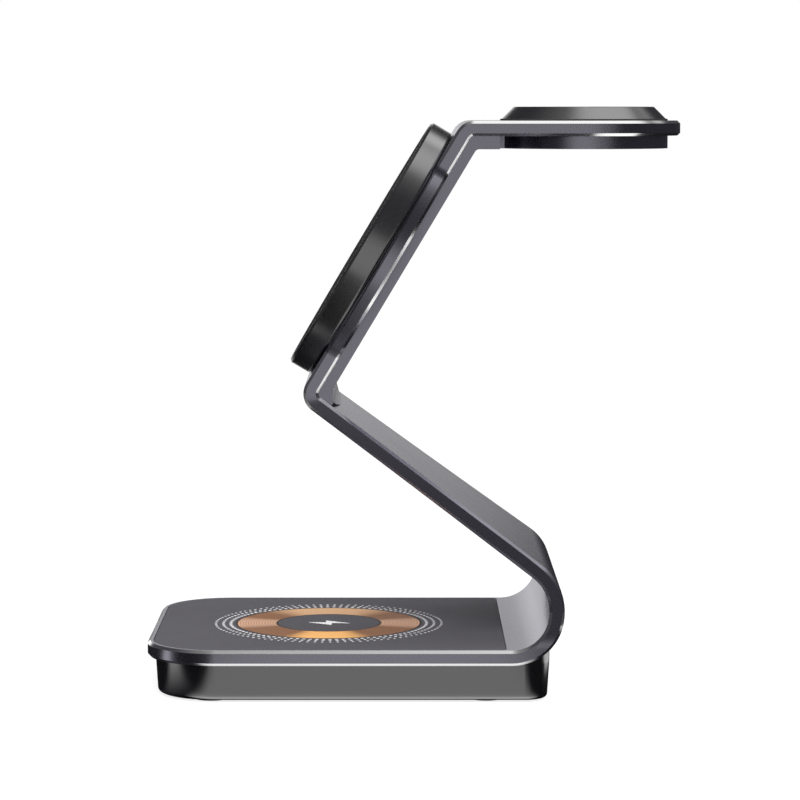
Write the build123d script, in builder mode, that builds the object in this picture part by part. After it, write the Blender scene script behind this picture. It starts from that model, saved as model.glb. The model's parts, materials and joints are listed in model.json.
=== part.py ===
from build123d import *
import os
from math import cos, radians, sin, tan

os.makedirs("parts", exist_ok=True)

# Three in one wireless charger. One aluminium plate is bent into a stand: a base with a panel
# for earbuds, an arm with a round magnetic pad for a phone, and a top plate with a puck for a
# watch. X runs from the front of the base to its back, Y across the stand, Z up from the table.
# All sizes are in millimetres.

# Bent plate
sheet = 3.0
edge_chamfer = 0.55
base_width = 66.5
base_flat = 71.5
base_corner = 14.0
rear_bend_radius = 7.4
lower_arm_lean = 36.5
lower_arm_length = 57.6
kink_radius = 1.0
phone_arm_lean = 59.1
phone_arm_length = 63.5
top_bend_radius = 1.0
top_plate_length = 44.0
arm_width = 38.7
flare_radius = 10.0
flare_angle = 22.8
flare_blend = 8.0
notch_radius = 3.5

# Base panel and its ring
panel_rim = 1.15
panel_rear_gap = 0.9
panel_rear_corner = 1.2
panel_thickness = 1.0
panel_gap = 0.12
ring_from_front = 35.4
ring_inner_radius = 10.7
ring_outer_radius = 18.6
ring_thickness = 0.3

# Casing under the base
housing_depth = 7.1
housing_inset = 1.6
housing_rear_reach = 7.6
housing_rear_corner = 5.0
housing_draft = 3.5
housing_wall = 1.6
housing_floor = 1.4
housing_edge = 0.8

# Feet and the screws behind them
foot_height = 0.5
foot_radius = 4.0
foot_recess = 0.6
foot_edge = 0.3
foot_from_front = 13.0
foot_before_bend = 4.8
foot_spread = 50.0
boss_radius = 3.2
screw_radius = 1.0
screw_head_radius = 1.9
screw_head_height = 1.4
screw_bite = 1.4
countersink_angle = 90

# Charging coil under the panel
window_radius = 25.0
carrier_thickness = 1.0
carrier_flange = 3.0
carrier_step = 0.5
earbud_ferrite_thickness = 0.6
earbud_coil_inner = 9.0
earbud_coil_outer = 22.0

# Circuit board and power socket
board_thickness = 1.0
board_width = 40.0
board_length = 51.0
board_corner = 2.0
board_rear_gap = 1.0
board_standoff = 0.8
board_hole_inset = 3.5
standoff_radius = 2.4
board_screw_bite = 1.4
choke_side = 7.0
choke_height = 2.4
choke_pitch = 12.0
choke_count = 3
chip_side = 6.0
chip_height = 0.9
chip_pitch = 18.0
capacitor_length = 3.2
capacitor_width = 2.5
capacitor_height = 1.6
capacitor_spread = 30.0
capacitor_pitch = 8.0
capacitor_rows = 3
plug_header_length = 3.0
plug_header_height = 1.5
socket_width = 8.9
socket_height = 3.2
socket_length = 7.3
socket_wall = 0.35
socket_recess = 0.4
tongue_width = 6.6
tongue_thickness = 0.7
tongue_length = 4.6

# Cable duct and cables
duct_height = 1.0
duct_width = 11.0
duct_back_wall = 0.7
ribbon_thickness = 0.4
ribbon_width = 10.0
ribbon_bend = 3.0
ribbon_before_bend = 4.5
lead_thickness = 0.6
lead_width = 4.0
lead_hole_radius = 3.0

# Phone pad
phone_pad_radius = 28.0
phone_pad_thickness = 4.9
phone_pad_up = 32.2
phone_pad_chamfer = 0.5
phone_pad_round = 0.7
phone_pad_back_wall = 1.0
phone_pad_rim = 1.0
phone_pad_ledge = 1.0
phone_face_thickness = 1.0
phone_ferrite_thickness = 0.8
phone_coil_thickness = 1.2
phone_coil_inner = 14.0
phone_coil_outer = 21.0
ferrite_margin = 0.4
magnet_inner_radius = 22.4
magnet_width = 3.2
magnet_thickness = 2.0
magnet_count = 12
magnet_gap = 0.8
pad_screw_up = 13.0
pad_screw_across = 17.0
pad_boss_radius = 2.4
pad_boss_height = 1.6
pad_screw_bite = 1.3

# Cover on the back of the arm and under the top plate
cover_width = 37.6
cover_on_arm = 2.1
cover_under_top = 2.55
cover_top_round = 1.0
cover_toe_fillet = 4.0
cover_toe_length = 8.1
cover_toe_reach = 5.5
cover_toe_edge = 0.2
cover_toe_arc = 90.0
cover_disc_radius = 16.85
cover_slot = 0.6
cover_neck = 10.0
channel_depth = 1.2
channel_width = 6.0

# Watch puck
puck_bottom_radius = 16.8
puck_top_radius = 14.05
puck_height = 2.75
puck_round = 0.35
puck_cavity_radius = 12.6
puck_cavity_height = 1.5
watch_face_radius = 12.4
watch_face_rim = 0.6
watch_face_drop = 0.35
watch_face_ledge = 1.0
watch_dish_depth = 0.45
watch_ferrite_radius = 11.5
watch_ferrite_thickness = 0.5
watch_coil_inner = 6.0
watch_coil_outer = 10.8
watch_coil_thickness = 0.8
watch_magnet_radius = 5.0
watch_magnet_thickness = 0.9
watch_screw_circle = 14.0
watch_screw_count = 3
watch_screw_radius = 0.8
watch_screw_head_radius = 1.5
watch_screw_bite = 1.3

# Clearances
fit_gap = 0.1
screw_gap = 0.05

# Levels above the table
housing_top = foot_height + housing_depth
base_top = housing_top + sheet
panel_seat = base_top - panel_thickness
floor_top = foot_height + housing_floor
board_bottom = floor_top + board_standoff
board_top = board_bottom + board_thickness

# Corners of the bent plate in side view, along the face that turns from the top of the base,
# round the inside of the rear bend and up the front of the phone arm to the top
rear_tangent = rear_bend_radius * tan(radians(180 - lower_arm_lean) / 2)
lower_run = Vector(-cos(radians(lower_arm_lean)), sin(radians(lower_arm_lean)))
phone_run = Vector(cos(radians(phone_arm_lean)), sin(radians(phone_arm_lean)))
lower_travel = lower_run * (rear_tangent + lower_arm_length)
phone_travel = phone_run * phone_arm_length
overall_length = base_flat + rear_tangent + lower_travel.X + phone_travel.X + top_plate_length
front_edge = Vector(-overall_length / 2, base_top)
bend_start = front_edge.X + base_flat
rear_corner = front_edge + Vector(base_flat + rear_tangent, 0)
kink_corner = rear_corner + lower_travel
top_corner = kink_corner + phone_travel
top_end = top_corner + Vector(top_plate_length, 0)
top_level = top_end.Y
puck_x = top_end.X - arm_width / 2
ring_x = front_edge.X + ring_from_front

panel_length = base_flat - panel_rim - panel_rear_gap
panel_width = base_width - 2 * panel_rim
housing_front = front_edge.X + housing_inset
housing_rear = bend_start + housing_rear_reach
housing_length = housing_rear - housing_front
housing_width = base_width - 2 * housing_inset
housing_taper_loss = housing_depth * tan(radians(housing_draft))
board_rear = housing_rear - housing_wall - housing_taper_loss - board_rear_gap
board_centre = board_rear - board_length / 2
socket_rear = housing_rear - housing_taper_loss - socket_recess
socket_level = board_top + socket_height / 2
phone_face_seat = phone_pad_thickness - phone_face_thickness
phone_cavity_radius = phone_pad_radius - phone_pad_rim - phone_pad_ledge
watch_dish_radius = (watch_face_radius**2 + watch_dish_depth**2) / (2 * watch_dish_depth)

# Each bend: its radius on that face, and how the radius grows with depth behind the face
rear_bend = (rear_bend_radius, 1)
kink_bend = (kink_radius + sheet, -1)
top_bend = (top_bend_radius + sheet, -1)

# Planes of the sloping parts
phone_up = Vector(phone_run.X, 0, phone_run.Y)
phone_front = Vector(-phone_run.Y, 0, phone_run.X)
pad_point = kink_corner + phone_run * phone_pad_up
pad_plane = Plane((pad_point.X, 0, pad_point.Y), x_dir=phone_up, z_dir=phone_front)
pad_axis = Axis(pad_plane.origin, phone_front)
arm_back_plane = Plane(pad_plane.origin - phone_front * sheet, x_dir=phone_up, z_dir=-phone_front)
lower_down = Vector(-lower_run.X, 0, -lower_run.Y)
lower_normal = Vector(lower_run.Y, 0, -lower_run.X)
puck_plane = Plane((puck_x, 0, top_level))
under_top_plane = Plane((puck_x, 0, top_level - sheet), x_dir=(1, 0, 0), z_dir=(0, 0, -1))

stand = (Align.CENTER, Align.CENTER, Align.MIN)
hang = (Align.CENTER, Align.CENTER, Align.MAX)


def beside(points, depths):
    """The bent line through points, moved behind its face by one depth for each run."""
    runs = [(end - start).normalized() for start, end in zip(points, points[1:])]
    normals = [Vector(run.Y, -run.X) for run in runs]
    moved = [points[0] + normals[0] * depths[0]]
    for index in range(1, len(runs)):
        before, after = normals[index - 1], normals[index]
        share = before.dot(after)
        along_before = (depths[index - 1] - depths[index] * share) / (1 - share**2)
        along_after = (depths[index] - depths[index - 1] * share) / (1 - share**2)
        moved.append(points[index] + before * along_before + after * along_after)
    moved.append(points[-1] + normals[-1] * depths[-1])
    return moved


def bent_section(points, bends, near, far):
    """Side view of a strip that follows points, between two depths behind its face."""
    with BuildSketch(Plane.XZ) as section:
        with BuildLine():
            edges = []
            for depth in (near, far):
                corners = beside(points, [depth] * (len(points) - 1))
                radii = [max(radius + growth * depth, 0) for radius, growth in bends]
                edges.append(FilletPolyline(*corners, radius=radii))
            Line(edges[0] @ 0, edges[1] @ 0)
            Line(edges[0] @ 1, edges[1] @ 1)
        make_face()
    return section.sketch


def flat_head_screw(shaft_radius, head_radius, length):
    """A countersunk screw whose head is flush with the plane it hangs from."""
    head_height = (head_radius - shaft_radius) / tan(radians(countersink_angle / 2))
    Cone(shaft_radius, head_radius, head_height, align=hang)
    Cylinder(shaft_radius, length, align=hang)


def flat_head_hole(shaft_radius, head_radius):
    """A hole through the plate for a countersunk screw."""
    CounterSinkHole(shaft_radius + screw_gap, head_radius + screw_gap, sheet, countersink_angle)


def foot_places(height):
    """The four places of the feet, at one height."""
    front = front_edge.X + foot_from_front
    rear = bend_start - foot_before_bend
    return [(x, y, height) for x in (front, rear) for y in (-foot_spread / 2, foot_spread / 2)]


def board_hole_places(height):
    """The four screw places of the board, at one height."""
    along = board_length / 2 - board_hole_inset
    across = board_width / 2 - board_hole_inset
    return [(board_centre + x, y, height) for x in (-along, along) for y in (-across, across)]


plate_path = [front_edge, rear_corner, kink_corner, top_corner, top_end]
plate_bends = [rear_bend, kink_bend, top_bend]
plate_section = bent_section(plate_path, plate_bends, 0, sheet)

# Duct for the ribbon cable inside the plate, from the rear of the base to behind the phone pad
duct_far = sheet - duct_back_wall
duct_near = duct_far - duct_height
ribbon_face_x = bend_start - ribbon_before_bend
ribbon_near = duct_far - ribbon_thickness
ribbon_drop_x = ribbon_face_x + duct_far - ribbon_thickness / 2
duct_start = Vector(ribbon_face_x + ribbon_near - fit_gap, base_top)
duct_end = pad_point + phone_run * lead_hole_radius
duct_section = bent_section(
    [duct_start, rear_corner, kink_corner, duct_end], [rear_bend, kink_bend], duct_near, duct_far
)

# Bent plate: the side view is drawn out to the width of the base, then trimmed in front view
# to the flare from the wide base to the narrow arm
with BuildPart() as z_frame:
    extrude(plate_section, amount=base_width / 2, both=True)
    with BuildSketch(Plane.YZ) as front_view:
        with BuildLine():
            base_side = Polyline((0, 0), (base_width / 2, 0), (base_width / 2, base_top))
            arm_foot = (arm_width / 2, kink_corner.Y)
            flare_start = JernArc(base_side @ 1, (0, 1), flare_radius, flare_angle)
            flare = TangentArc(flare_start @ 1, arm_foot, tangent=flare_start % 1)
            Polyline(flare @ 1, (arm_width / 2, top_level + sheet), (0, top_level + sheet), (0, 0))
        make_face()
        flare_top = front_view.vertices().sort_by_distance(arm_foot)[0]
        fillet(flare_top, radius=flare_blend)
        mirror(about=Plane.YZ)
    extrude(amount=overall_length, both=True, mode=Mode.INTERSECT)
    fillet(z_frame.edges().filter_by(Axis.Z).group_by(Axis.X)[0], base_corner)
    with BuildSketch(Plane.XY.offset(top_level)) as round_end:
        with Locations((puck_x, 0)):
            Rectangle(arm_width, arm_width + sheet, align=(Align.MIN, Align.CENTER))
            Circle(arm_width / 2, mode=Mode.SUBTRACT)
    extrude(amount=-sheet, mode=Mode.SUBTRACT)
    with BuildSketch(pad_plane):
        Circle(phone_pad_radius)
    extrude(amount=-sheet)
    fillet(z_frame.edges().filter_by(pad_axis), notch_radius)
    rim = plate_section.wire()
    outline = ShapeList()
    cross_lines = z_frame.edges().filter_by(Axis.Y)
    bend_lines = cross_lines - cross_lines.group_by(Axis.X)[0]
    for edge in z_frame.edges() - bend_lines - z_frame.edges().filter_by(Axis.Z):
        middle = edge @ 0.5
        if rim.distance_to((middle.X, 0, middle.Z)) < fit_gap:
            outline.append(edge)
    chamfer(outline, edge_chamfer)
    # Seat of the panel, with the window for the coil
    with BuildSketch(Plane.XY.offset(base_top)) as panel_recess:
        with Locations((front_edge.X + panel_rim, 0)):
            Rectangle(panel_length, panel_width, align=(Align.MIN, Align.CENTER))
        fillet(panel_recess.vertices().group_by(Axis.X)[0], base_corner - panel_rim)
        fillet(panel_recess.vertices().group_by(Axis.X)[-1], panel_rear_corner)
    extrude(amount=-panel_thickness, mode=Mode.SUBTRACT)
    with BuildSketch(Plane.XY.offset(panel_seat)):
        with Locations((ring_x, 0)):
            Circle(window_radius)
    extrude(amount=-sheet, mode=Mode.SUBTRACT)
    # Blind holes for the casing screws
    with Locations(*foot_places(housing_top)):
        Cylinder(screw_radius + screw_gap, screw_bite + fit_gap, align=stand, mode=Mode.SUBTRACT)
    # Cable duct, its mouth under the base and the lead holes
    extrude(duct_section, amount=duct_width / 2, both=True, mode=Mode.SUBTRACT)
    with BuildSketch(Plane.XY.offset(housing_top)):
        with Locations((duct_start.X, 0)):
            Rectangle(ribbon_bend, duct_width, align=(Align.MIN, Align.CENTER))
    extrude(amount=sheet - duct_near, mode=Mode.SUBTRACT)
    with Locations(arm_back_plane):
        Hole(lead_hole_radius, sheet)
        with GridLocations(pad_screw_up, pad_screw_across, 2, 2):
            flat_head_hole(screw_radius, screw_head_radius)
    with Locations(under_top_plane):
        Hole(lead_hole_radius, sheet)
        with PolarLocations(watch_screw_circle, watch_screw_count):
            flat_head_hole(watch_screw_radius, watch_screw_head_radius)

# Panel let into the base, with a shallow seat for its ring
with BuildPart() as base_pad:
    with BuildSketch(Plane.XY.offset(panel_seat)):
        offset(panel_recess.sketch_local, amount=-panel_gap)
    extrude(amount=panel_thickness)
    with BuildSketch(Plane.XY.offset(base_top)):
        with Locations((ring_x, 0)):
            Circle(ring_outer_radius)
            Circle(ring_inner_radius, mode=Mode.SUBTRACT)
    extrude(amount=-ring_thickness, mode=Mode.SUBTRACT)

# Copper coloured ring, flush in the panel
with BuildPart() as copper_ring:
    with BuildSketch(Plane.XY.offset(base_top - ring_thickness)):
        with Locations((ring_x, 0)):
            Circle(ring_outer_radius)
            Circle(ring_inner_radius, mode=Mode.SUBTRACT)
    extrude(amount=ring_thickness)

# Casing: a drafted tub whose rear rises under the bend of the plate
with BuildPart() as base_housing:
    with BuildSketch(Plane.XY.offset(housing_top)) as housing_outline:
        with Locations((housing_front, 0)):
            Rectangle(housing_length, housing_width, align=(Align.MIN, Align.CENTER))
        fillet(housing_outline.vertices().group_by(Axis.X)[0], base_corner - housing_inset)
        fillet(housing_outline.vertices().group_by(Axis.X)[-1], housing_rear_corner)
    extrude(amount=-housing_depth, taper=housing_draft)
    fillet(base_housing.faces().sort_by(Axis.Z)[0].edges(), housing_edge)
    extrude(housing_outline.sketch, amount=rear_bend_radius)
    with BuildSketch(Plane.XY.offset(floor_top)):
        offset(housing_outline.sketch_local, amount=-housing_wall - housing_taper_loss)
    extrude(amount=housing_depth + rear_bend_radius, mode=Mode.SUBTRACT)
    with Locations(*foot_places(foot_height)):
        Cylinder(boss_radius, housing_depth, align=stand)
    with Locations(*board_hole_places(foot_height)):
        Cylinder(standoff_radius, board_bottom - foot_height, align=stand)
    with BuildSketch(Plane.XZ):
        with BuildLine():
            underside = Line((front_edge.X, housing_top), (bend_start, housing_top))
            bend = CenterArc((bend_start, base_top + rear_bend_radius), rear_bend_radius + sheet, -90, 90)
            Polyline(bend @ 1, (front_edge.X, base_top + rear_bend_radius), underside @ 0)
        make_face()
    extrude(amount=base_width, both=True, mode=Mode.SUBTRACT)
    with Locations(*foot_places(foot_height)):
        Cylinder(foot_radius + fit_gap, foot_recess, align=stand, mode=Mode.SUBTRACT)
    with Locations(*foot_places(foot_height + foot_recess)):
        Cylinder(screw_head_radius + fit_gap, screw_head_height, align=stand, mode=Mode.SUBTRACT)
        Cylinder(screw_radius + screw_gap, housing_depth, align=stand, mode=Mode.SUBTRACT)
    with Locations(*board_hole_places(board_bottom)):
        Cylinder(screw_radius + screw_gap, board_screw_bite + fit_gap, align=hang, mode=Mode.SUBTRACT)
    with BuildSketch(Plane.YZ.offset(housing_rear - housing_wall - housing_taper_loss - fit_gap)):
        with Locations((0, socket_level)):
            SlotOverall(socket_width + 2 * fit_gap, socket_height + 2 * fit_gap)
    extrude(amount=housing_rear_reach, mode=Mode.SUBTRACT)

# Four feet let into the casing
with BuildPart() as rubber_feet:
    with Locations(*foot_places(0)):
        Cylinder(foot_radius, foot_height + foot_recess, align=stand)
    chamfer(rubber_feet.edges().filter_by(GeomType.CIRCLE).group_by(Axis.Z)[0], foot_edge)

# Screws behind the feet
with BuildPart() as housing_screws:
    with Locations(*foot_places(foot_height + foot_recess)):
        Cylinder(screw_head_radius, screw_head_height, align=stand)
        Cylinder(screw_radius, housing_depth - foot_recess + screw_bite, align=stand)

# Circuit board on its standoffs
with BuildPart() as main_board:
    with BuildSketch(Plane.XY.offset(board_bottom)) as board_outline:
        with Locations((board_rear, 0)):
            Rectangle(board_length, board_width, align=(Align.MAX, Align.CENTER))
        fillet(board_outline.vertices(), board_corner)
    extrude(amount=board_thickness)
    with Locations(*board_hole_places(board_bottom)):
        Cylinder(screw_radius + screw_gap, board_thickness, align=stand, mode=Mode.SUBTRACT)

# Screws that hold the board
with BuildPart() as board_screws:
    with Locations(*board_hole_places(board_top)):
        Cylinder(screw_head_radius, screw_head_height, align=stand)
        Cylinder(screw_radius, board_thickness + board_screw_bite, align=hang)

# Chokes, chips, capacitors and the header of the ribbon cable on the board
with BuildPart() as board_components:
    with Locations((board_centre, 0, board_top)):
        with GridLocations(chip_pitch, chip_pitch, 2, 2):
            Box(chip_side, chip_side, chip_height, align=stand)
        with GridLocations(0, choke_pitch, 1, choke_count):
            Box(choke_side, choke_side, choke_height, align=stand)
        with GridLocations(capacitor_spread, capacitor_pitch, 2, capacitor_rows):
            Box(capacitor_length, capacitor_width, capacitor_height, align=stand)
    with Locations((ribbon_drop_x, 0, board_top)):
        Box(plug_header_length, duct_width, plug_header_height, align=stand)

# Power socket at the back of the casing: a drawn steel shell with its tongue
with BuildPart() as power_socket:
    with BuildSketch(Plane.YZ.offset(socket_rear)):
        with Locations((0, socket_level)):
            SlotOverall(socket_width, socket_height)
    extrude(amount=-socket_length)
    with BuildSketch(Plane.YZ.offset(socket_rear)):
        with Locations((0, socket_level)):
            SlotOverall(socket_width - 2 * socket_wall, socket_height - 2 * socket_wall)
    extrude(amount=socket_wall - socket_length, mode=Mode.SUBTRACT)

# Tongue inside the socket
with BuildPart() as socket_tongue:
    with BuildSketch(Plane.YZ.offset(socket_rear - socket_length + socket_wall)):
        with Locations((0, socket_level)):
            Rectangle(tongue_width, tongue_thickness)
    extrude(amount=tongue_length)

# Coil, ferrite and carrier in the window of the base
with BuildPart() as coil_carrier:
    with BuildSketch(Plane.XY.offset(housing_top)):
        with Locations((ring_x, 0)):
            Circle(window_radius + carrier_flange)
    extrude(amount=-carrier_thickness)
    with BuildSketch(Plane.XY.offset(housing_top)):
        with Locations((ring_x, 0)):
            Circle(window_radius - fit_gap)
    extrude(amount=carrier_step)

with BuildPart() as earbud_ferrite:
    with BuildSketch(Plane.XY.offset(housing_top + carrier_step)):
        with Locations((ring_x, 0)):
            Circle(window_radius - 2 * fit_gap)
    extrude(amount=earbud_ferrite_thickness)

with BuildPart() as earbud_coil:
    with BuildSketch(Plane.XY.offset(housing_top + carrier_step + earbud_ferrite_thickness)):
        with Locations((ring_x, 0)):
            Circle(earbud_coil_outer)
            Circle(earbud_coil_inner, mode=Mode.SUBTRACT)
    extrude(amount=sheet - panel_thickness - carrier_step - earbud_ferrite_thickness)

# Ribbon cable: up from the board, round the rear bend and along the arms inside the duct
ribbon_path = [
    Vector(ribbon_face_x, board_top + plug_header_height),
    Vector(ribbon_face_x, base_top),
    rear_corner,
    kink_corner,
    pad_point,
]
ribbon_section = bent_section(
    ribbon_path, [(ribbon_bend, -1), rear_bend, kink_bend], ribbon_near, duct_far
)
with BuildPart() as ribbon_cable:
    extrude(ribbon_section, amount=ribbon_width / 2, both=True)

# Phone pad: a round cup with four screw bosses
with BuildPart() as phone_pad_housing:
    with BuildSketch(pad_plane):
        Circle(phone_pad_radius)
    extrude(amount=phone_pad_thickness)
    pad_rims = phone_pad_housing.edges().filter_by(GeomType.CIRCLE).sort_by(pad_axis)
    chamfer(pad_rims[-1], phone_pad_chamfer)
    fillet(pad_rims[0], phone_pad_round)
    with BuildSketch(pad_plane.offset(phone_pad_back_wall)):
        Circle(phone_cavity_radius)
    extrude(amount=phone_pad_thickness, mode=Mode.SUBTRACT)
    with BuildSketch(pad_plane.offset(phone_face_seat)):
        Circle(phone_pad_radius - phone_pad_rim)
    extrude(amount=phone_pad_thickness, mode=Mode.SUBTRACT)
    with Locations(pad_plane):
        with GridLocations(pad_screw_up, pad_screw_across, 2, 2):
            Cylinder(pad_boss_radius, phone_pad_back_wall + pad_boss_height, align=stand)
            Cylinder(screw_radius + screw_gap, pad_screw_bite + fit_gap, align=stand, mode=Mode.SUBTRACT)
        Cylinder(lead_hole_radius, phone_pad_back_wall, align=stand, mode=Mode.SUBTRACT)

with BuildPart() as phone_pad_face:
    with BuildSketch(pad_plane.offset(phone_face_seat)):
        Circle(phone_pad_radius - phone_pad_rim - fit_gap)
    extrude(amount=phone_face_thickness)

# Ferrite, coil and magnet ring in the phone pad
with BuildPart() as phone_ferrite:
    with BuildSketch(pad_plane.offset(phone_pad_back_wall)):
        Circle(phone_coil_outer + ferrite_margin)
        Circle(phone_coil_inner - ferrite_margin, mode=Mode.SUBTRACT)
    extrude(amount=phone_ferrite_thickness)

with BuildPart() as phone_coil:
    with BuildSketch(pad_plane.offset(phone_pad_back_wall + phone_ferrite_thickness)):
        Circle(phone_coil_outer)
        Circle(phone_coil_inner, mode=Mode.SUBTRACT)
    extrude(amount=phone_coil_thickness)

with BuildPart() as phone_magnets:
    with BuildSketch(pad_plane.offset(phone_pad_back_wall)):
        Circle(magnet_inner_radius + magnet_width)
        Circle(magnet_inner_radius, mode=Mode.SUBTRACT)
        with PolarLocations(magnet_inner_radius + magnet_width / 2, magnet_count):
            Rectangle(2 * magnet_width, magnet_gap, mode=Mode.SUBTRACT)
    extrude(amount=magnet_thickness)

with BuildPart(arm_back_plane) as phone_pad_screws:
    with GridLocations(pad_screw_up, pad_screw_across, 2, 2):
        flat_head_screw(screw_radius, screw_head_radius, sheet + pad_screw_bite)

# Cover: a bent strip against the back of the arm and the underside of the top plate, with a
# rounded toe on the lower arm, and a disc under the puck on a narrow neck
plate_back = beside(plate_path, [sheet] * (len(plate_path) - 1))
kink_back, top_back = plate_back[2:4]
toe_tip = kink_back - lower_run * cover_toe_length
cover_end = Vector(puck_x - cover_disc_radius - cover_slot, top_level - sheet)
cover_path = [toe_tip, kink_back, top_back, cover_end]
cover_back = beside(cover_path, [cover_toe_edge, cover_on_arm, cover_under_top])
channel_start = pad_point - phone_run * lead_hole_radius
channel_end = Vector(puck_x + lead_hole_radius, top_level)
channel_path = [channel_start, top_corner, channel_end]
channel_section = bent_section(channel_path, [top_bend], sheet, sheet + channel_depth)
toe_origin = Vector(kink_back.X, 0, kink_back.Y)
toe_plane = Plane(toe_origin, x_dir=lower_down, z_dir=lower_normal)
with BuildPart() as back_cover:
    with BuildSketch(Plane.XZ):
        with BuildLine():
            seat_edge = FilletPolyline(*cover_path, radius=[kink_radius, top_bend_radius])
            back_edge = FilletPolyline(*cover_back, radius=[cover_toe_fillet, cover_top_round])
            Line(seat_edge @ 0, back_edge @ 0)
            Line(seat_edge @ 1, back_edge @ 1)
        make_face()
    extrude(amount=cover_width / 2, both=True)
    with BuildSketch(toe_plane):
        Rectangle(cover_toe_length + sheet, base_width, align=(Align.MIN, Align.CENTER))
        with Locations((cover_toe_reach - cover_toe_arc, 0)):
            Circle(cover_toe_arc, mode=Mode.SUBTRACT)
    extrude(amount=2 * cover_toe_fillet, mode=Mode.SUBTRACT)
    with BuildSketch(Plane.XY.offset(top_level - sheet)):
        with Locations((puck_x, 0)):
            Circle(cover_disc_radius)
        with Locations((cover_end.X - cover_slot, 0)):
            Rectangle(cover_disc_radius, cover_neck, align=(Align.MIN, Align.CENTER))
    extrude(amount=-cover_under_top)
    extrude(channel_section, amount=channel_width / 2, both=True, mode=Mode.SUBTRACT)

# Lead from the phone pad to the puck, in the channel of the cover
lead_path = [pad_point, top_corner, Vector(puck_x, top_level)]
lead_section = bent_section(lead_path, [top_bend], sheet, sheet + lead_thickness)
with BuildPart() as watch_lead:
    extrude(lead_section, amount=lead_width / 2, both=True)

# Watch puck: a low cone, open below, with a seat for its dished face
with BuildPart(puck_plane) as watch_puck:
    Cone(puck_bottom_radius, puck_top_radius, puck_height, align=stand)
    fillet(watch_puck.edges().filter_by(GeomType.CIRCLE).sort_by(Axis.Z)[-1], puck_round)
    Cylinder(puck_cavity_radius, puck_cavity_height, align=stand, mode=Mode.SUBTRACT)
    Cylinder(watch_face_radius - watch_face_ledge, puck_height, align=stand, mode=Mode.SUBTRACT)
    with Locations((0, 0, puck_height)):
        Cylinder(watch_face_radius + fit_gap, watch_face_rim, align=hang, mode=Mode.SUBTRACT)
    with PolarLocations(watch_screw_circle, watch_screw_count):
        screw_hole_depth = watch_screw_bite + fit_gap
        Cylinder(watch_screw_radius + screw_gap, screw_hole_depth, align=stand, mode=Mode.SUBTRACT)

with BuildPart(puck_plane.offset(puck_height)) as watch_face:
    Cylinder(watch_face_radius, watch_face_rim, align=hang)
    watch_face_plug = watch_face_radius - watch_face_ledge - fit_gap
    Cylinder(watch_face_plug, watch_face_rim + watch_face_drop, align=hang)
    with Locations((0, 0, watch_dish_radius - watch_dish_depth)):
        Sphere(watch_dish_radius, mode=Mode.SUBTRACT)

# Ferrite, coil and magnet in the puck
with BuildPart(puck_plane) as watch_ferrite:
    Cylinder(watch_ferrite_radius, watch_ferrite_thickness, align=stand)
    Cylinder(lead_hole_radius, watch_ferrite_thickness, align=stand, mode=Mode.SUBTRACT)

with BuildPart(puck_plane.offset(watch_ferrite_thickness)) as watch_coil:
    Cylinder(watch_coil_outer, watch_coil_thickness, align=stand)
    Cylinder(watch_coil_inner, watch_coil_thickness, align=stand, mode=Mode.SUBTRACT)

with BuildPart(puck_plane.offset(watch_ferrite_thickness)) as watch_magnet:
    Cylinder(watch_magnet_radius, watch_magnet_thickness, align=stand)

with BuildPart(under_top_plane) as watch_screws:
    with PolarLocations(watch_screw_circle, watch_screw_count):
        flat_head_screw(watch_screw_radius, watch_screw_head_radius, sheet + watch_screw_bite)

pieces = {
    "z_frame": z_frame,
    "base_pad": base_pad,
    "copper_ring": copper_ring,
    "base_housing": base_housing,
    "rubber_feet": rubber_feet,
    "housing_screws": housing_screws,
    "main_board": main_board,
    "board_screws": board_screws,
    "board_components": board_components,
    "power_socket": power_socket,
    "socket_tongue": socket_tongue,
    "coil_carrier": coil_carrier,
    "earbud_ferrite": earbud_ferrite,
    "earbud_coil": earbud_coil,
    "ribbon_cable": ribbon_cable,
    "phone_pad_housing": phone_pad_housing,
    "phone_pad_face": phone_pad_face,
    "phone_ferrite": phone_ferrite,
    "phone_coil": phone_coil,
    "phone_magnets": phone_magnets,
    "phone_pad_screws": phone_pad_screws,
    "back_cover": back_cover,
    "watch_lead": watch_lead,
    "watch_puck": watch_puck,
    "watch_face": watch_face,
    "watch_ferrite": watch_ferrite,
    "watch_coil": watch_coil,
    "watch_magnet": watch_magnet,
    "watch_screws": watch_screws,
}
for name, piece in pieces.items():
    piece.part.label = name
    export_step(piece.part, f"parts/{name}.step")
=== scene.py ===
# %% [markdown]
# # Dressing a three in one wireless charger
# The stand is one bent aluminium plate that carries a panel for earbuds, a round magnetic pad for a
# phone and a puck for a watch. Its solids come from the CAD model, in metres, and stay where they
# are. This lesson gives every piece its finish, adds the print and the small pieces that are too
# fine for the solids, and sets up the studio of the photograph.

# %% Load the frame
import json
import math

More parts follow.
